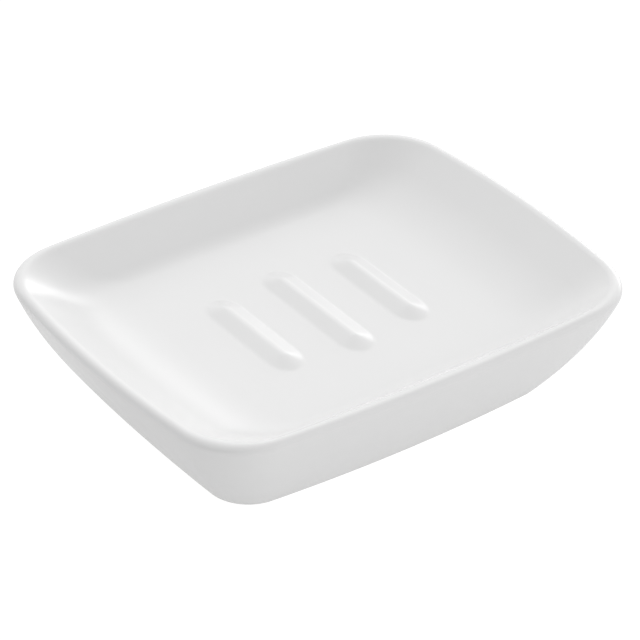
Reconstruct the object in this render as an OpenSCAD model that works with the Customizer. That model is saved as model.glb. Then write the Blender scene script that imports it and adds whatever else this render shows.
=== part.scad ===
// Ceramic soap dish with three drain ribs, standing on four soft pads.
// X runs along the long sides, Y along the short sides and Z up.
// The origin is the middle of the face that the pads stand on.

/* [Rim] */
// Length over the rim
dish_l = 130; // [118:1:150]
// Width over the rim
dish_w = 106; // [96:1:122]
// Height from the foot to the top of the rim
dish_h = 30.5; // [26:0.2:38]
// Corner radius of the rim, seen from above
rim_corner_r = 18.2; // [13:0.2:24]
// Radius of the slow curve of the long sides
long_side_r = 700; // [450:10:1000]
// Radius of the slow curve of the short sides
short_side_r = 300; // [250:5:500]
// Radius of the outer half of the rolled lip
lip_r = 1.5; // [1.2:0.1:2.2]
// Radius of the inner half of the rolled lip
lip_in_r = 3; // [2:0.1:4]
// How much lower the rim lies at the middle of the long sides
rim_sag = 0.4; // [0:0.05:1]

/* [Outer wall and foot] */
// Length over the foot
foot_l = 96.4; // [86:0.2:106]
// Width over the foot
foot_w = 72.4; // [64:0.2:80]
// Corner radius of the foot
foot_corner_r = 10.8; // [9:0.1:14]
// Radius of the slow curve of the foot's long sides
foot_long_side_r = 466; // [360:2:800]
// Radius of the slow curve of the foot's short sides
foot_short_side_r = 500; // [300:5:800]
// Radius of the softened outer edge of the foot
foot_edge_r = 1.5; // [0.8:0.1:2.4]
// How far the wall swells out between rim and foot
wall_swell = 1.4; // [0:0.1:2.4]

/* [Bowl] */
// Depth of the bowl floor below the rim
bowl_depth = 9.4; // [8:0.1:11]
// Slope of the bowl wall along the long sides, in degrees from level
long_wall_slope = 40; // [35:1:50]
// Slope of the bowl wall along the short sides, in degrees from level
short_wall_slope = 29; // [27:1:38]
// Radius of the cove between floor and long wall
long_cove_r = 8; // [4:0.5:12]
// Radius of the cove between floor and short wall
short_cove_r = 38; // [20:1:42]
// Corner radius of the bowl floor
floor_corner_r = 7; // [5:0.5:12]
// Radius of the slow curve of the bowl floor's long sides
floor_long_side_r = 3000; // [1500:100:5000]
// Radius of the slow curve of the bowl floor's short sides
floor_short_side_r = 500; // [300:10:1000]

/* [Drain ribs] */
// Distance between neighbouring ribs
rib_pitch = 18.7; // [15:0.1:22]
// Length of the middle rib
middle_rib_l = 44; // [36:0.5:50]
// Length of the two outer ribs
side_rib_l = 38; // [30:0.5:46]
// Width of a rib with its soft flanks
rib_w = 10; // [7:0.2:12]
// Height of a rib above the floor
rib_h = 1.4; // [0.8:0.1:2]
// Radius of a rib's rounded crest and of the rounding at its root
rib_round_r = 3; // [1.5:0.1:4]
// Length of a rib's rounded end
rib_end_l = 7; // [4:0.1:10]

/* [Underside] */
// Thickness of the cast wall and of the floor
wall_t = 5; // [4:0.1:5.6]
// Corner radius of the opening under the dish
recess_corner_r = 14.5; // [10:0.5:18]
// Radius where the recess turns from its wall into its ceiling
recess_round_r = 6; // [3:0.5:8]

/* [Pads] */
// Diameter of a pad
pad_d = 6.4; // [5:0.1:7]
// Thickness of a pad
pad_h = 1.2; // [0.8:0.1:2.5]
// Radius of the rounded lower edge of a pad
pad_edge_r = 0.4; // [0.2:0.05:0.6]
// Distance from the foot's edge to a pad
pad_margin = 1.3; // [0.8:0.1:2]

/* [Hidden] */

// Steps along a long side, a corner and a short side in one quarter of a ring
long_steps = 5;
corner_steps = 10;
short_steps = 4;
// Rings on the foot edge, the outer wall, the lip's outer and inner half and the bowl
edge_rings = 3;
wall_rings = 8;
lip_rings = 5;
lip_in_rings = 3;
bowl_rings = 15;
// Rings on the recess wall and on its rounding
recess_rings = 5;
round_rings = 5;
// Steps of each rounding of a rib, steps of a pad's edge, and sides of a full round
rib_steps = 4;
pad_steps = 4;
round_sides = 48;
// How deep a rib's root and the feather edge of its flank lie
rib_root = 1.2;
rib_feather = 0.03;

long_inset = (dish_w - foot_w) / 2;
short_inset = (dish_l - foot_l) / 2;
mean_inset = (long_inset + short_inset) / 2;
floor_z = dish_h - bowl_depth;
ceiling_z = floor_z - wall_t;
round_start_z = ceiling_z - recess_round_r;
wall_span = wall_t / cos(atan(mean_inset / dish_h));
swell_rise = 4 * wall_swell;

// Outline of a ring: each quarter is a long side arc, a corner arc and a short side arc,
// all tangent to the next, and its points follow the direction that the outline faces.
// Centre of the corner arc, where both side arcs touch it
function corner_centre(half_l, half_w, corner_r, long_r, short_r) =
    let (
        centre_x = half_l - short_r,
        centre_y = half_w - long_r,
        reach_short = short_r - corner_r,
        reach_long = long_r - corner_r,
        apart = norm([centre_x, centre_y]),
        along = (reach_short ^ 2 - reach_long ^ 2 + apart ^ 2) / (2 * apart),
        off = sqrt(reach_short ^ 2 - along ^ 2),
        unit = [-centre_x, centre_y] / apart
    )
    [centre_x + along * unit.x - off * unit.y, along * unit.y + off * unit.x];

// Points of the first quarter, from the short side's middle to just before the long side's middle
function quarter(half_l, half_w, corner_r, long_r, short_r) =
    let (
        centre = corner_centre(half_l, half_w, corner_r, long_r, short_r),
        centre_x = half_l - short_r,
        centre_y = half_w - long_r,
        turn_short = atan2(centre.y, centre.x - centre_x),
        turn_long = atan2(centre.y - centre_y, centre.x)
    )
    [
        for (i = [0:short_steps - 1])
            let (a = turn_short * i / short_steps)
            [centre_x + short_r * cos(a), short_r * sin(a)],
        for (i = [0:corner_steps - 1])
            let (a = turn_short + (turn_long - turn_short) * i / corner_steps)
            centre + corner_r * [cos(a), sin(a)],
        for (i = [0:long_steps - 1])
            let (a = turn_long + (90 - turn_long) * i / long_steps)
            [long_r * cos(a), centre_y + long_r * sin(a)]
    ];

// The whole outline, counterclockwise, from one quarter and its three mirror images
function outline(half_l, half_w, corner_r, long_r, short_r) =
    let (
        q = quarter(half_l, half_w, corner_r, long_r, short_r),
        n = len(q)
    )
    [
        for (p = q) p,
        [0, half_w],
        for (i = [n - 1:-1:1]) [-q[i].x, q[i].y],
        for (p = q) [-p.x, -p.y],
        [0, -half_w],
        for (i = [n - 1:-1:1]) [q[i].x, -q[i].y]
    ];

// Sag of the rim at a point, for a share of it
function sag(x, share) = rim_sag * share * max(0, 1 - (x / (dish_l / 2)) ^ 2);

function blend(from, to, share) = from + (to - from) * share;

// Outer face: inset from the rim outline at a height, for one side's whole inset
function lean_at_rim(inset) = atan((inset - swell_rise) / dish_h);
function lean_at_foot(inset) = atan((inset + swell_rise) / dish_h);
function lip_end_z(inset) = dish_h - lip_r * (1 + sin(lean_at_rim(inset)));
function edge_run(inset) = foot_edge_r * tan((90 - lean_at_foot(inset)) / 2);
function edge_end_z(inset) = edge_run(inset) * cos(lean_at_foot(inset));
function lip_inset(z) = lip_r - sqrt(max(0, lip_r ^ 2 - (z - dish_h + lip_r) ^ 2));
function edge_inset(z, inset) =
    inset + edge_run(inset) - sqrt(max(0, foot_edge_r ^ 2 - (foot_edge_r - z) ^ 2));
function wall_inset(z, inset) =
    let (
        top = lip_end_z(inset),
        start = lip_inset(top),
        share = (top - z) / top
    )
    blend(start, inset, share) - swell_rise * share * (1 - share);
function outer_inset(z, inset) =
    z > lip_end_z(inset) ? lip_inset(z) : z > edge_end_z(inset) ? wall_inset(z, inset) : edge_inset(z, inset);

function outer_ring(z) =
    let (
        share = 1 - z / dish_h,
        ring = outline(
            dish_l / 2 - outer_inset(z, short_inset),
            dish_w / 2 - outer_inset(z, long_inset),
            blend(rim_corner_r, foot_corner_r, share),
            blend(long_side_r, foot_long_side_r, share),
            blend(short_side_r, foot_short_side_r, share)
        )
    )
    [for (p = ring) [p.x, p.y, z - sag(p.x, z / dish_h)]];

// Bowl face: inset from the rim outline at a height above the floor
function slope_end(slope) = lip_in_r * (1 - cos(slope));
function cove_h(slope, cove_r) = cove_r * (1 - cos(slope));
function floor_inset(slope, cove_r) =
    lip_r + (lip_in_r + cove_r) * sin(slope)
        + (bowl_depth - slope_end(slope) - cove_h(slope, cove_r)) / tan(slope);
function bowl_inset(h, slope, cove_r) =
    h > bowl_depth - slope_end(slope)
        ? lip_r + sqrt(max(0, lip_in_r ^ 2 - (lip_in_r - bowl_depth + h) ^ 2))
        : h > cove_h(slope, cove_r)
            ? lip_r + lip_in_r * sin(slope) + (bowl_depth - slope_end(slope) - h) / tan(slope)
            : floor_inset(slope, cove_r) - sqrt(h * (2 * cove_r - h));

function bowl_ring(h) =
    let (
        short = bowl_inset(h, short_wall_slope, short_cove_r),
        long = bowl_inset(h, long_wall_slope, long_cove_r),
        share = (long - lip_r) / (floor_inset(long_wall_slope, long_cove_r) - lip_r),
        ring = outline(
            dish_l / 2 - short,
            dish_w / 2 - long,
            blend(rim_corner_r, floor_corner_r, share),
            blend(long_side_r, floor_long_side_r, share),
            blend(short_side_r, floor_short_side_r, share)
        )
    )
    [for (p = ring) [p.x, p.y, floor_z + h - sag(p.x, h / bowl_depth)]];

// Recess under the dish: follows the outer face one wall further in, then rounds into its ceiling
function recess_outline(z, extra) =
    let (share = 1 - z / dish_h)
    outline(
        dish_l / 2 - wall_inset(z, short_inset) - wall_span - extra,
        dish_w / 2 - wall_inset(z, long_inset) - wall_span - extra,
        recess_corner_r,
        blend(long_side_r, foot_long_side_r, share),
        blend(short_side_r, foot_short_side_r, share)
    );
function recess_ring(z) = [for (p = recess_outline(z, 0)) [p.x, p.y, z]];
function recess_round_ring(turn) =
    let (ring = recess_outline(round_start_z, recess_round_r * (1 - cos(turn))))
    [for (p = ring) [p.x, p.y, round_start_z + recess_round_r * sin(turn)]];

// Heights of the rings on each surface, and all rings from the recess ceiling to the bowl floor
edge_zs = [for (i = [0:edge_rings]) edge_end_z(mean_inset) * (i / edge_rings) ^ 2];
wall_zs = [
    for (i = [1:wall_rings]) blend(edge_end_z(mean_inset), lip_end_z(mean_inset), i / wall_rings)
];
lip_turn = 90 + lean_at_rim(mean_inset);
lip_zs = [
    for (i = [1:lip_rings])
        dish_h - lip_r + lip_r * sin(lip_turn * i / lip_rings - lean_at_rim(mean_inset))
];
lip_in_hs = [
    for (i = [1:lip_in_rings]) bowl_depth - lip_in_r * (1 - cos(long_wall_slope * i / lip_in_rings))
];
bowl_hs = [for (i = [bowl_rings - 1:-1:0]) lip_in_hs[lip_in_rings - 1] * (i / bowl_rings) ^ 2];

rings = [
    for (i = [round_rings:-1:1]) recess_round_ring(90 * i / round_rings),
    for (i = [recess_rings:-1:0]) recess_ring(round_start_z * i / recess_rings),
    for (z = edge_zs) outer_ring(z),
    for (z = wall_zs) outer_ring(z),
    for (z = lip_zs) outer_ring(z),
    for (h = lip_in_hs) bowl_ring(h),
    for (h = bowl_hs) bowl_ring(h)
];

// Skin over a stack of rings, closed by a flat face at each end
module skin(rings) {
    n = len(rings[0]);
    points = [for (ring = rings) each ring];
    sides = [
        for (r = [0:len(rings) - 2], i = [0:n - 1])
            let (
                a = r * n + i,
                b = r * n + (i + 1) % n
            )
            each [[a, a + n, b], [b, a + n, b + n]]
    ];
    first = [for (i = [0:n - 1]) i];
    last = [for (i = [n - 1:-1:0]) (len(rings) - 1) * n + i];
    polyhedron(points = points, faces = concat(sides, [first], [last]));
}

// Half of a rib's section: a round crest, an even flank and a round root that fades into the floor
rib_half_w = rib_w / 2;
rib_rise = rib_h + rib_feather;
rib_dip = 2 * rib_round_r - rib_rise;
rib_slope = asin(2 * rib_round_r / norm([rib_half_w, rib_dip])) - atan(rib_dip / rib_half_w);
function rib_crest(turn) = [rib_round_r * sin(turn), rib_h - rib_round_r * (1 - cos(turn))];
function rib_flank(turn) =
    [rib_half_w - rib_round_r * sin(turn), rib_round_r * (1 - cos(turn)) - rib_feather];
rib_half = [
    for (i = [0:rib_steps]) rib_crest(rib_slope * i / rib_steps),
    for (i = [rib_steps:-1:0]) rib_flank(rib_slope * i / rib_steps)
];

// A rib: its section drawn out along Y, with an oval round of the same section at each end
module rib(rib_l) {
    straight = rib_l - 2 * rib_end_l;
    rotate([90, 0, 0])
        linear_extrude(height = straight, center = true)
            polygon(concat(
                [for (i = [len(rib_half) - 1:-1:1]) [-rib_half[i].x, rib_half[i].y]],
                rib_half,
                [[rib_half_w, -rib_root], [-rib_half_w, -rib_root]]
            ));
    for (side = [0, 1])
        mirror([0, side, 0])
            translate([0, straight / 2, 0])
                scale([1, rib_end_l / rib_half_w, 1])
                    rotate_extrude(angle = 180, $fn = round_sides)
                        polygon(concat(rib_half, [[rib_half_w, -rib_root], [0, -rib_root]]));
}

module dish() {
    color("white")
        translate([0, 0, pad_h])
            union() {
                skin(rings);
                for (column = [-1:1])
                    translate([column * rib_pitch, 0, floor_z])
                        rib(column == 0 ? middle_rib_l : side_rib_l);
            }
}

// Pad under one corner of the foot; the signs choose the corner
module pad(sign_x, sign_y) {
    edge = edge_run(mean_inset);
    centre = corner_centre(
        foot_l / 2 - edge, foot_w / 2 - edge, foot_corner_r, foot_long_side_r, foot_short_side_r
    );
    reach = (foot_corner_r - pad_margin - pad_d / 2) / sqrt(2);
    color("gainsboro")
        translate([sign_x * (centre.x + reach), sign_y * (centre.y + reach), 0])
            rotate_extrude($fn = round_sides)
                polygon(concat(
                    [[0, 0]],
                    [
                        for (i = [0:pad_steps])
                            let (a = 90 * i / pad_steps)
                            [pad_d / 2 - pad_edge_r + pad_edge_r * sin(a), pad_edge_r - pad_edge_r * cos(a)]
                    ],
                    [[pad_d / 2, pad_h], [0, pad_h]]
                ));
}

dish();
pad(-1, -1);  // pad_front_left
pad(1, -1);  // pad_front_right
pad(-1, 1);  // pad_back_left
pad(1, 1);  // pad_back_right
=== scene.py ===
import math

import bpy
import numpy as np
from mathutils import Matrix, Vector


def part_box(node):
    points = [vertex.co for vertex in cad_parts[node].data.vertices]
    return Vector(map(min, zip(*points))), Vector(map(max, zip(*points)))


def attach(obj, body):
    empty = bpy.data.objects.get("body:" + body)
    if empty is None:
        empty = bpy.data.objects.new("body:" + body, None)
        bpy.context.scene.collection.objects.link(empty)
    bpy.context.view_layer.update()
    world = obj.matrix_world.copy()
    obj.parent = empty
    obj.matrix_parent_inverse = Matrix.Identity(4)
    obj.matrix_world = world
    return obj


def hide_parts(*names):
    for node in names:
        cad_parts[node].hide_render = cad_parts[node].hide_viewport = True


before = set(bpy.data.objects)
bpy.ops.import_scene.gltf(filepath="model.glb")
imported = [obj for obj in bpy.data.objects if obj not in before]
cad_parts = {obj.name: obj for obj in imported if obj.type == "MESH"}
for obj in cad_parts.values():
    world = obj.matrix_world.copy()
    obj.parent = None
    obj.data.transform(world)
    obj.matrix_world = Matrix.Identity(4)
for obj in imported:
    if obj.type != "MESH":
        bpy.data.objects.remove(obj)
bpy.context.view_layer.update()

MM = 0.001

# Sizes of the dish in millimetres, as the CAD solids have them
LIP_R = 1.5
LIP_IN_R = 3.0
RIM_SAG = 0.4
RIM_CORNER_R = 18.2
LONG_SIDE_R = 700.0
SHORT_SIDE_R = 300.0
FOOT_L = 96.4
FOOT_W = 72.4
FOOT_CORNER_R = 10.8
FOOT_LONG_SIDE_R = 466.0
FOOT_SHORT_SIDE_R = 500.0
FOOT_EDGE_R = 1.5
WALL_SWELL = 1.4
BOWL_DEPTH = 9.4
LONG_WALL_SLOPE = math.radians(40)
SHORT_WALL_SLOPE = math.radians(29)
LONG_COVE_R = 8.0
SHORT_COVE_R = 38.0
FLOOR_CORNER_R = 7.0
FLOOR_LONG_SIDE_R = 3000.0
FLOOR_SHORT_SIDE_R = 500.0
RIB_PITCH = 18.7
MIDDLE_RIB_L = 44.0
SIDE_RIB_L = 38.0
RIB_W = 10.0
RIB_H = 1.4
RIB_ROUND_R = 3.0
RIB_END_L = 7.0
WALL_T = 5.0
RECESS_CORNER_R = 14.5
RECESS_ROUND_R = 6.0
RECESS_EDGE_R = 0.8
PAD_EDGE_R = 0.4
PAD_TOP_EDGE_R = 0.1
PAD_CROWN = 0.06

# Everything else about the size comes from the frame, in millimetres too
dish_low, dish_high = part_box("dish")
DISH_L = (dish_high.x - dish_low.x) / MM
DISH_W = (dish_high.y - dish_low.y) / MM
PAD_H = dish_low.z / MM
DISH_H = dish_high.z / MM - PAD_H
LONG_INSET = (DISH_W - FOOT_W) / 2
SHORT_INSET = (DISH_L - FOOT_L) / 2
MEAN_INSET = (LONG_INSET + SHORT_INSET) / 2
FLOOR_Z = DISH_H - BOWL_DEPTH
CEILING_Z = FLOOR_Z - WALL_T
WALL_SPAN = WALL_T / math.cos(math.atan(MEAN_INSET / DISH_H))
RIB_DIP = 2 * RIB_ROUND_R - RIB_H
RIB_HALF_W = RIB_W / 2
RIB_SLOPE = math.asin(2 * RIB_ROUND_R / math.hypot(RIB_HALF_W, RIB_DIP)) - math.atan(RIB_DIP / RIB_HALF_W)

# Steps of the fine mesh along a long side, a corner and a short side, and across each surface
LONG_STEPS = 48
CORNER_STEPS = 26
SHORT_STEPS = 22
EDGE_RINGS = 8
WALL_RINGS = 20
LIP_RINGS = 16
BOWL_RINGS = 48
FLOOR_RINGS = 110
FOOT_RINGS = 6
RECESS_RINGS = 10
ROUND_RINGS = 10
CEILING_RINGS = 4
PAD_TURN_STEPS = 72
PAD_EDGE_RINGS = 8


def blend(start, end, share):
    return start + (end - start) * share


def corner_centre(half_l, half_w, corner_r, long_r, short_r):
    """Centre of the corner arc that touches both side arcs."""
    centre = np.array([half_l - short_r, half_w - long_r])
    reach_short, reach_long = short_r - corner_r, long_r - corner_r
    apart = np.hypot(*centre)
    along = (reach_short**2 - reach_long**2 + apart**2) / (2 * apart)
    off = math.sqrt(reach_short**2 - along**2)
    ux, uy = -centre[0] / apart, centre[1] / apart
    return np.array([centre[0] + along * ux - off * uy, along * uy + off * ux])


def arc(centre, radius, start, end, steps):
    angles = start + (end - start) * np.arange(steps) / steps
    return np.column_stack([centre[0] + radius * np.cos(angles), centre[1] + radius * np.sin(angles)])


def outline(half_l, half_w, corner_r, long_r, short_r):
    """Rounded rectangle with slow curved sides, counterclockwise from the middle of the right side."""
    corner = corner_centre(half_l, half_w, corner_r, long_r, short_r)
    short_centre, long_centre = (half_l - short_r, 0.0), (0.0, half_w - long_r)
    turn_short = math.atan2(corner[1], corner[0] - short_centre[0])
    turn_long = math.atan2(corner[1] - long_centre[1], corner[0])
    quarter = np.vstack([
        arc(short_centre, short_r, 0, turn_short, SHORT_STEPS),
        arc(corner, corner_r, turn_short, turn_long, CORNER_STEPS),
        arc(long_centre, long_r, turn_long, math.pi / 2, LONG_STEPS),
    ])
    back = quarter[:0:-1]
    return np.vstack([
        quarter, [[0, half_w]], back * [-1, 1], quarter * [-1, -1], [[0, -half_w]], back * [1, -1],
    ])


def sag(x, share):
    return RIM_SAG * share * np.clip(1 - (x / (DISH_L / 2)) ** 2, 0, None)


def ring_points(plan, z):
    return np.column_stack([plan, np.broadcast_to(z, len(plan))])


def lean_at_rim(inset):
    return math.atan((inset - 4 * WALL_SWELL) / DISH_H)


def lean_at_foot(inset):
    return math.atan((inset + 4 * WALL_SWELL) / DISH_H)


def lip_end_z(inset):
    return DISH_H - LIP_R * (1 + math.sin(lean_at_rim(inset)))


def edge_run(inset):
    return FOOT_EDGE_R * math.tan((math.pi / 2 - lean_at_foot(inset)) / 2)


def edge_end_z(inset):
    return edge_run(inset) * math.cos(lean_at_foot(inset))


def lip_inset(z):
    return LIP_R - math.sqrt(max(0, LIP_R**2 - (z - DISH_H + LIP_R) ** 2))


def wall_inset(z, inset):
    top = lip_end_z(inset)
    share = (top - z) / top
    return blend(lip_inset(top), inset, share) - 4 * WALL_SWELL * share * (1 - share)


def outer_inset(z, inset):
    """How far the outer face lies inside the rim outline at a height above the foot."""
    if z > lip_end_z(inset):
        return lip_inset(z)
    if z > edge_end_z(inset):
        return wall_inset(z, inset)
    return inset + edge_run(inset) - math.sqrt(max(0, FOOT_EDGE_R**2 - (FOOT_EDGE_R - z) ** 2))


def outer_ring(z):
    share = 1 - z / DISH_H
    plan = outline(
        DISH_L / 2 - outer_inset(z, SHORT_INSET),
        DISH_W / 2 - outer_inset(z, LONG_INSET),
        blend(RIM_CORNER_R, FOOT_CORNER_R, share),
        blend(LONG_SIDE_R, FOOT_LONG_SIDE_R, share),
        blend(SHORT_SIDE_R, FOOT_SHORT_SIDE_R, share),
    )
    return ring_points(plan, z - sag(plan[:, 0], z / DISH_H))


def slope_end(slope):
    return LIP_IN_R * (1 - math.cos(slope))


def cove_h(slope, cove_r):
    return cove_r * (1 - math.cos(slope))


def floor_inset(slope, cove_r):
    wall_h = BOWL_DEPTH - slope_end(slope) - cove_h(slope, cove_r)
    return LIP_R + (LIP_IN_R + cove_r) * math.sin(slope) + wall_h / math.tan(slope)


def bowl_inset(h, slope, cove_r):
    """How far the bowl's face lies inside the rim outline at a height above the bowl floor."""
    if h > BOWL_DEPTH - slope_end(slope):
        return LIP_R + math.sqrt(max(0, LIP_IN_R**2 - (LIP_IN_R - BOWL_DEPTH + h) ** 2))
    if h > cove_h(slope, cove_r):
        return LIP_R + LIP_IN_R * math.sin(slope) + (BOWL_DEPTH - slope_end(slope) - h) / math.tan(slope)
    return floor_inset(slope, cove_r) - math.sqrt(h * (2 * cove_r - h))


def bowl_ring(h):
    short = bowl_inset(h, SHORT_WALL_SLOPE, SHORT_COVE_R)
    long = bowl_inset(h, LONG_WALL_SLOPE, LONG_COVE_R)
    share = (long - LIP_R) / (floor_inset(LONG_WALL_SLOPE, LONG_COVE_R) - LIP_R)
    plan = outline(
        DISH_L / 2 - short,
        DISH_W / 2 - long,
        blend(RIM_CORNER_R, FLOOR_CORNER_R, share),
        blend(LONG_SIDE_R, FLOOR_LONG_SIDE_R, share),
        blend(SHORT_SIDE_R, FLOOR_SHORT_SIDE_R, share),
    )
    return ring_points(plan, FLOOR_Z + h - sag(plan[:, 0], h / BOWL_DEPTH))


def recess_ring(z, extra=0.0):
    share = 1 - z / DISH_H
    plan = outline(
        DISH_L / 2 - wall_inset(z, SHORT_INSET) - WALL_SPAN - extra,
        DISH_W / 2 - wall_inset(z, LONG_INSET) - WALL_SPAN - extra,
        RECESS_CORNER_R,
        blend(LONG_SIDE_R, FOOT_LONG_SIDE_R, share),
        blend(SHORT_SIDE_R, FOOT_SHORT_SIDE_R, share),
    )
    return ring_points(plan, z)


def rib_height(x, y):
    """Height of the three ribs above the floor: a round crest, even flanks and a round root."""
    height = np.zeros(len(x))
    turn_run = RIB_ROUND_R * math.sin(RIB_SLOPE)
    for column, length in ((-1, SIDE_RIB_L), (0, MIDDLE_RIB_L), (1, SIDE_RIB_L)):
        half_straight = length / 2 - RIB_END_L
        past_end = (y - np.clip(y, -half_straight, half_straight)) * RIB_HALF_W / RIB_END_L
        distance = np.hypot(x - column * RIB_PITCH, past_end)
        to_root = np.clip(RIB_HALF_W - distance, 0, None)
        crest = RIB_H - RIB_ROUND_R + np.sqrt(np.clip(RIB_ROUND_R**2 - distance**2, 0, None))
        root = RIB_ROUND_R - np.sqrt(np.clip(RIB_ROUND_R**2 - to_root**2, 0, None))
        flank = RIB_ROUND_R * (1 - math.cos(RIB_SLOPE)) + (to_root - turn_run) * math.tan(RIB_SLOPE)
        section = np.where(distance < turn_run, crest, np.where(to_root < turn_run, root, flank))
        height = np.maximum(height, section)
    return height


def recess_rings():
    """From the middle of the recess ceiling down its wall and round onto the face of the foot ring."""
    rings = []
    round_z = CEILING_Z - RECESS_ROUND_R
    ceiling = recess_ring(round_z, RECESS_ROUND_R)
    ceiling[:, 2] = CEILING_Z
    for i in range(1, CEILING_RINGS):
        rings.append(ceiling * [i / CEILING_RINGS, i / CEILING_RINGS, 1])
    for i in range(ROUND_RINGS):
        turn = math.pi / 2 * (1 - i / ROUND_RINGS)
        ring = recess_ring(round_z, RECESS_ROUND_R * (1 - math.cos(turn)))
        ring[:, 2] = round_z + RECESS_ROUND_R * math.sin(turn)
        rings.append(ring)
    for i in range(RECESS_RINGS):
        rings.append(recess_ring(blend(round_z, RECESS_EDGE_R, i / RECESS_RINGS)))
    for i in range(FOOT_RINGS + 1):
        turn = math.pi / 2 * i / FOOT_RINGS
        ring = recess_ring(RECESS_EDGE_R, -RECESS_EDGE_R * (1 - math.cos(turn)))
        ring[:, 2] = RECESS_EDGE_R * (1 - math.sin(turn))
        rings.append(ring)
    return rings


def foot_rings(inner):
    """The flat face of the foot ring, between its inner ring and the outer edge."""
    outer = outer_ring(0.0)
    return [blend(inner, outer, i / FOOT_RINGS) for i in range(1, FOOT_RINGS)]


def wall_rings():
    """Up the outer face, from the foot edge to the crest of the lip."""
    rings = []
    edge_top, lip_start = edge_end_z(MEAN_INSET), lip_end_z(MEAN_INSET)
    for i in range(EDGE_RINGS):
        rings.append(outer_ring(edge_top * (i / EDGE_RINGS) ** 2))
    for i in range(WALL_RINGS):
        rings.append(outer_ring(blend(edge_top, lip_start, i / WALL_RINGS)))
    lean = lean_at_rim(MEAN_INSET)
    for i in range(LIP_RINGS):
        turn = (math.pi / 2 + lean) * i / LIP_RINGS - lean
        rings.append(outer_ring(DISH_H - LIP_R + LIP_R * math.sin(turn)))
    return rings


def bowl_rings():
    """From the crest of the lip down the bowl wall and over the ribs to the middle of the floor."""
    rings = []
    for i in range(LIP_RINGS):
        rings.append(bowl_ring(BOWL_DEPTH - LIP_IN_R * (1 - math.cos(LONG_WALL_SLOPE * i / LIP_RINGS))))
    wall_top = BOWL_DEPTH - slope_end(LONG_WALL_SLOPE)
    for i in range(BOWL_RINGS):
        rings.append(bowl_ring(wall_top * (1 - i / BOWL_RINGS) ** 2))
    floor = bowl_ring(0.0)
    for i in range(FLOOR_RINGS):
        share = 1 - i / FLOOR_RINGS
        ring = floor * [share, share, 1]
        ring[:, 2] += rib_height(ring[:, 0], ring[:, 1])
        rings.append(ring)
    return rings


def dish_rings():
    """Rings of the whole dish, from the middle of the recess to the middle of the bowl floor."""
    recess = recess_rings()
    return recess + foot_rings(recess[-1]) + wall_rings() + bowl_rings()


def fit_box(points, low, high):
    """Scales points about the middle so that they fill the CAD node's box and never leave it."""
    own_low, own_high = points.min(0), points.max(0)
    return low + (points - own_low) * (high - low) / (own_high - own_low)


def new_mesh_object(name, points, faces):
    mesh = bpy.data.meshes.new(name)
    mesh.from_pydata([tuple(p) for p in points], [], faces)
    mesh.validate()
    mesh.shade_smooth()
    piece = bpy.data.objects.new(name, mesh)
    bpy.context.scene.collection.objects.link(piece)
    return piece


def skin_faces(ring_count, n, first_centre, last_centre):
    """Quads between neighbouring rings, and a fan to a centre point at each end."""
    faces = []
    for r in range(ring_count - 1):
        for i in range(n):
            a, b = r * n + i, r * n + (i + 1) % n
            faces.append((a, b, b + n, a + n))
    last = (ring_count - 1) * n
    for i in range(n):
        j = (i + 1) % n
        faces.append((first_centre, j, i))
        faces.append((last + i, last + j, last_centre))
    return faces


def make_dish():
    rings = dish_rings()
    n = len(rings[0])
    centres = np.array([[0, 0, CEILING_Z], [0, 0, FLOOR_Z + RIB_H]])
    points = np.vstack(rings + [centres])
    points[:, 2] += PAD_H
    points = fit_box(points * MM, np.array(dish_low), np.array(dish_high))
    count = len(rings) * n
    return new_mesh_object("dish_body", points, skin_faces(len(rings), n, count, count + 1))


def pad_profile(radius, height):
    """Radius and height of points from the crowned underside, round the edge, to the flat top."""
    edge, top_edge, crown = PAD_EDGE_R * MM, PAD_TOP_EDGE_R * MM, PAD_CROWN * MM
    profile = [(radius * share, crown * share**2) for share in (0.25, 0.5, 0.75)]
    for i in range(PAD_EDGE_RINGS + 1):
        turn = math.pi / 2 * i / PAD_EDGE_RINGS
        out, up = edge * math.sin(turn), (edge - crown) * (1 - math.cos(turn))
        profile.append((radius - edge + out, crown + up))
    profile += [(radius, height * 0.6), (radius, height - top_edge), (radius - top_edge, height)]
    return profile + [(radius * share, height) for share in (0.6, 0.3)]


def make_pad(node):
    """A moulded pad: a turned profile with soft edges and a slight crown underneath."""
    low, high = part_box(node)
    centre = (low + high) / 2
    height = high.z - low.z
    angles = np.arange(PAD_TURN_STEPS) * 2 * math.pi / PAD_TURN_STEPS
    rings = [
        np.column_stack([
            centre.x + radius * np.cos(angles),
            centre.y + radius * np.sin(angles),
            np.full(PAD_TURN_STEPS, low.z + z),
        ])
        for radius, z in pad_profile((high.x - low.x) / 2, height)
    ]
    centres = np.array([[centre.x, centre.y, low.z], [centre.x, centre.y, low.z + height]])
    count = len(rings) * PAD_TURN_STEPS
    faces = skin_faces(len(rings), PAD_TURN_STEPS, count, count + 1)
    return new_mesh_object(node + "_pad", np.vstack(rings + [centres]), faces)


def new_material(name):
    material = bpy.data.materials.new(name)
    material.use_nodes = True
    tree = material.node_tree
    tree.nodes.clear()
    shader = tree.nodes.new("ShaderNodeBsdfPrincipled")
    output = tree.nodes.new("ShaderNodeOutputMaterial")
    tree.links.new(shader.outputs["BSDF"], output.inputs["Surface"])
    return material, tree, shader


def position(tree):
    return tree.nodes.new("ShaderNodeNewGeometry").outputs["Position"]


def noise(tree, place, scale, detail):
    node = tree.nodes.new("ShaderNodeTexNoise")
    node.inputs["Scale"].default_value = scale
    node.inputs["Detail"].default_value = detail
    tree.links.new(place, node.inputs["Vector"])
    return node.outputs["Fac"]


def map_range(tree, value, low, high, to_low, to_high):
    node = tree.nodes.new("ShaderNodeMapRange")
    node.inputs["From Min"].default_value = low
    node.inputs["From Max"].default_value = high
    node.inputs["To Min"].default_value = to_low
    node.inputs["To Max"].default_value = to_high
    tree.links.new(value, node.inputs["Value"])
    return node.outputs["Result"]


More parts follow.
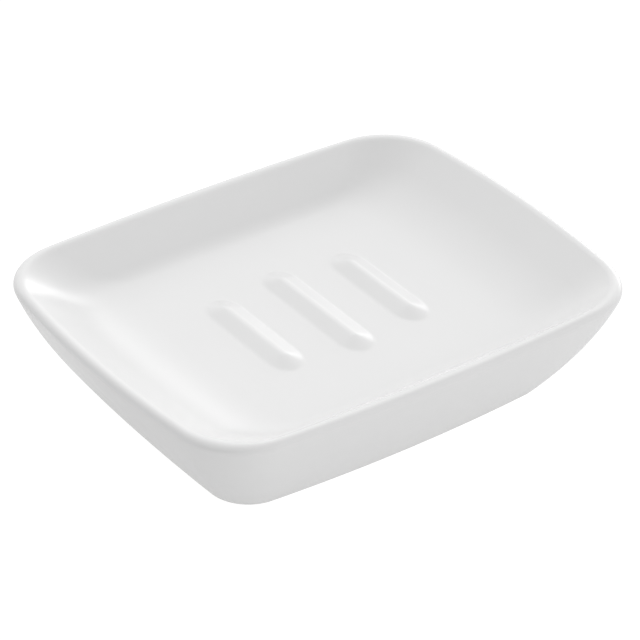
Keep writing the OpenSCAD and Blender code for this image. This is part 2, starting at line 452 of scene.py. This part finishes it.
def math_node(tree, operation, value, second, third=None):
    node = tree.nodes.new("ShaderNodeMath")
    node.operation = operation
    tree.links.new(value, node.inputs[0])
    for socket, number in ((node.inputs[1], second), (node.inputs[2], third)):
        if isinstance(number, (int, float)):
            socket.default_value = number
        elif number is not None:
            tree.links.new(number, socket)
    return node.outputs[0]


def mix_colour(tree, fac, first, second):
    """A blend of two colours, each given as a tuple or as a socket."""
    node = tree.nodes.new("ShaderNodeMix")
    node.data_type = "RGBA"
    tree.links.new(fac, node.inputs["Factor"])
    for socket, colour in ((node.inputs[6], first), (node.inputs[7], second)):
        if isinstance(colour, tuple):
            socket.default_value = (*colour, 1)
        else:
            tree.links.new(colour, socket)
    return node.outputs[2]


def mix_value(tree, fac, first, second):
    """A blend of two values, each given as a number or as a socket."""
    node = tree.nodes.new("ShaderNodeMix")
    node.data_type = "FLOAT"
    tree.links.new(fac, node.inputs["Factor"])
    for socket, value in ((node.inputs[2], first), (node.inputs[3], second)):
        if isinstance(value, (int, float)):
            socket.default_value = value
        else:
            tree.links.new(value, socket)
    return node.outputs[0]


def bump(tree, height, distance):
    node = tree.nodes.new("ShaderNodeBump")
    node.inputs["Distance"].default_value = distance
    node.inputs["Strength"].default_value = 1.0
    tree.links.new(height, node.inputs["Height"])
    return node.outputs["Normal"]


# Colours and surfaces: (darker, lighter) colour, (smoother, rougher), and ripple or grain in metres
GLAZE_WHITES = (0.875, 0.875, 0.875), (0.895, 0.895, 0.895)
BISQUE_TONES = (0.74, 0.72, 0.68), (0.82, 0.80, 0.77)
PAD_TONES = (0.74, 0.74, 0.72), (0.80, 0.80, 0.78)
GLAZE_ROUGHNESS = 0.18, 0.22
BISQUE_ROUGHNESS = 0.8
PAD_ROUGHNESS = 0.42, 0.56
GLAZE_IOR = 1.5
GLAZE_RIPPLE = 0.002 * MM
PAD_GRAIN = 0.01 * MM

# The glaze is wiped off the foot up to a wavering line, this high above the foot face
WIPED_H = 0.2 * MM, 0.45 * MM
WIPED_FADE = 0.05 * MM

# The part of a noise's 0 to 1 that its values mostly lie in
NOISE_LOW, NOISE_HIGH = 0.3, 0.7


def noise_between(tree, noise_value, low, high):
    return map_range(tree, noise_value, NOISE_LOW, NOISE_HIGH, low, high)


def bare_foot(tree, place):
    """1 where the glaze is wiped off the face of the foot ring, and 0 above it."""
    split = tree.nodes.new("ShaderNodeSeparateXYZ")
    tree.links.new(place, split.inputs["Vector"])
    above_foot = math_node(tree, "SUBTRACT", split.outputs["Z"], PAD_H * MM)
    glaze_line = noise_between(tree, noise(tree, place, scale=900, detail=2), *WIPED_H)
    above_line = math_node(tree, "SUBTRACT", above_foot, glaze_line)
    return map_range(tree, above_line, -WIPED_FADE, WIPED_FADE, 1, 0)


def glaze_material():
    """White gloss glaze over a cast body, wiped off the face of the foot ring."""
    material, tree, shader = new_material("white_glaze")
    place = position(tree)
    bare = bare_foot(tree, place)
    white = mix_colour(tree, noise(tree, place, scale=45, detail=3), *GLAZE_WHITES)
    bisque = mix_colour(tree, noise(tree, place, scale=1400, detail=4), *BISQUE_TONES)
    tree.links.new(mix_colour(tree, bare, white, bisque), shader.inputs["Base Color"])
    gloss = noise_between(tree, noise(tree, place, scale=160, detail=4), *GLAZE_ROUGHNESS)
    tree.links.new(mix_value(tree, bare, gloss, BISQUE_ROUGHNESS), shader.inputs["Roughness"])
    ripple = noise(tree, place, scale=260, detail=2)
    grain = noise(tree, place, scale=3200, detail=3)
    relief = bump(tree, mix_value(tree, bare, ripple, grain), GLAZE_RIPPLE)
    tree.links.new(relief, shader.inputs["Normal"])
    shader.inputs["IOR"].default_value = GLAZE_IOR
    return material


def pad_material():
    """Matt milky soft plastic with a fine moulded grain."""
    material, tree, shader = new_material("soft_pad")
    place = position(tree)
    tone = mix_colour(tree, noise(tree, place, scale=700, detail=3), *PAD_TONES)
    tree.links.new(tone, shader.inputs["Base Color"])
    rough = noise_between(tree, noise(tree, place, scale=2500, detail=3), *PAD_ROUGHNESS)
    tree.links.new(rough, shader.inputs["Roughness"])
    relief = bump(tree, noise(tree, place, scale=6000, detail=2), PAD_GRAIN)
    tree.links.new(relief, shader.inputs["Normal"])
    return material


# Camera of the photograph: its direction, distance and lens, and its small shift from the middle
CAMERA_AZIMUTH = math.radians(-35.33)
CAMERA_ELEVATION = math.radians(33.25)
CAMERA_DISTANCE = 799.6 * MM
CAMERA_OFF_RIGHT = 0.63 * MM
CAMERA_OFF_UP = 16.28 * MM
FOCAL_PIXELS = 3213.22
FRAME_PIXELS = 640
SENSOR_MM = 36.0
CLIP_NEAR, CLIP_FAR = 0.01, 20.0


def make_camera():
    azimuth, elevation = CAMERA_AZIMUTH, CAMERA_ELEVATION
    back = Vector((
        math.sin(azimuth) * math.cos(elevation),
        -math.cos(azimuth) * math.cos(elevation),
        math.sin(elevation),
    ))
    right = Vector((math.cos(azimuth), math.sin(azimuth), 0))
    up = back.cross(right)
    data = bpy.data.cameras.new("camera")
    data.sensor_width = SENSOR_MM
    data.lens = FOCAL_PIXELS / FRAME_PIXELS * SENSOR_MM
    data.clip_start, data.clip_end = CLIP_NEAR, CLIP_FAR
    camera = bpy.data.objects.new("camera", data)
    turn = Matrix((right, up, back)).transposed().to_4x4()
    place = back * CAMERA_DISTANCE + right * CAMERA_OFF_RIGHT + up * CAMERA_OFF_UP
    camera.matrix_world = Matrix.Translation(place) @ turn
    bpy.context.scene.collection.objects.link(camera)
    bpy.context.scene.camera = camera


def soft_glow(tree, ray, azimuth, elevation, tightness, strength):
    """A patch of light in the sky, brightest at its aim and fading smoothly around it.

    The azimuth turns from +X towards +Y.
    """
    azimuth, elevation = math.radians(azimuth), math.radians(elevation)
    dot = tree.nodes.new("ShaderNodeVectorMath")
    dot.operation = "DOT_PRODUCT"
    dot.inputs[1].default_value = (
        math.cos(azimuth) * math.cos(elevation),
        math.sin(azimuth) * math.cos(elevation),
        math.sin(elevation),
    )
    tree.links.new(ray, dot.inputs[0])
    near = math_node(tree, "MULTIPLY_ADD", dot.outputs["Value"], 0.5, 0.5)
    return math_node(tree, "MULTIPLY", math_node(tree, "POWER", near, tightness), strength)


def make_world():
    """A studio tent: soft glows light the dish, and the camera sees plain white."""
    world = bpy.data.worlds.new("world")
    bpy.context.scene.world = world
    world.use_nodes = True
    tree = world.node_tree
    tree.nodes.clear()
    ray = tree.nodes.new("ShaderNodeTexCoord").outputs["Generated"]
    glows = [
        # wide ones: above the back, then low at the back left, the front and the front right
        soft_glow(tree, ray, azimuth=80, elevation=50, tightness=6, strength=1.45),
        soft_glow(tree, ray, azimuth=135, elevation=12, tightness=6, strength=0.5),
        soft_glow(tree, ray, azimuth=270, elevation=12, tightness=6, strength=0.9),
        soft_glow(tree, ray, azimuth=315, elevation=12, tightness=6, strength=0.75),
        # smaller ones beyond the back right corner
        soft_glow(tree, ray, azimuth=45, elevation=33, tightness=40, strength=0.45),
        soft_glow(tree, ray, azimuth=75, elevation=8, tightness=40, strength=0.4),
        soft_glow(tree, ray, azimuth=15, elevation=8, tightness=40, strength=0.8),
        # narrow ones: for the light flanks of the ribs, and for the highlight in the left corner
        soft_glow(tree, ray, azimuth=38, elevation=18, tightness=160, strength=1.8),
        soft_glow(tree, ray, azimuth=28, elevation=3, tightness=120, strength=5.5),
    ]
    total = glows[0]
    for glow in glows[1:]:
        total = math_node(tree, "ADD", total, glow)
    tent = tree.nodes.new("ShaderNodeBackground")
    tree.links.new(total, tent.inputs["Strength"])
    white = tree.nodes.new("ShaderNodeBackground")
    white.inputs["Strength"].default_value = 1.0
    for shader in (tent, white):
        shader.inputs["Color"].default_value = (1, 1, 1, 1)
    mix = tree.nodes.new("ShaderNodeMixShader")
    tree.links.new(tree.nodes.new("ShaderNodeLightPath").outputs["Is Camera Ray"], mix.inputs["Fac"])
    tree.links.new(tent.outputs[0], mix.inputs[1])
    tree.links.new(white.outputs[0], mix.inputs[2])
    output = tree.nodes.new("ShaderNodeOutputWorld")
    tree.links.new(mix.outputs[0], output.inputs["Surface"])


# The white table: what it gives the dish, and what the camera sees of it
FLOOR_HALF = 3.0
TABLE_TONE = 0.4
TABLE_TONE_SEEN = 0.15
TABLE_GLOW = 0.43
TABLE_GLOW_SEEN = 0.95


def make_floor():
    """A white light table: it glows softly from below and still takes the dish's shadow."""
    corners = [(-FLOOR_HALF, -FLOOR_HALF, 0), (FLOOR_HALF, -FLOOR_HALF, 0),
               (FLOOR_HALF, FLOOR_HALF, 0), (-FLOOR_HALF, FLOOR_HALF, 0)]
    floor = new_mesh_object("floor", corners, [(0, 1, 2, 3)])
    material, tree, shader = new_material("floor")
    shader.inputs["Roughness"].default_value = 1.0
    shader.inputs["Specular IOR Level"].default_value = 0.0
    shader.inputs["Emission Color"].default_value = (1, 1, 1, 1)
    seen = tree.nodes.new("ShaderNodeLightPath").outputs["Is Camera Ray"]
    tone = map_range(tree, seen, 0, 1, TABLE_TONE, TABLE_TONE_SEEN)
    glow = map_range(tree, seen, 0, 1, TABLE_GLOW, TABLE_GLOW_SEEN)
    tree.links.new(tone, shader.inputs["Base Color"])
    tree.links.new(glow, shader.inputs["Emission Strength"])
    floor.data.materials.append(material)


make_camera()

dish = make_dish()
dish.data.materials.append(glaze_material())
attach(dish, "root")
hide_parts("dish")

soft = pad_material()
for node in ("pad_front_left", "pad_front_right", "pad_back_left", "pad_back_right"):
    pad = make_pad(node)
    pad.data.materials.append(soft)
    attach(pad, "root")
    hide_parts(node)

make_floor()
make_world()

bpy.context.scene.view_settings.view_transform = "Standard"
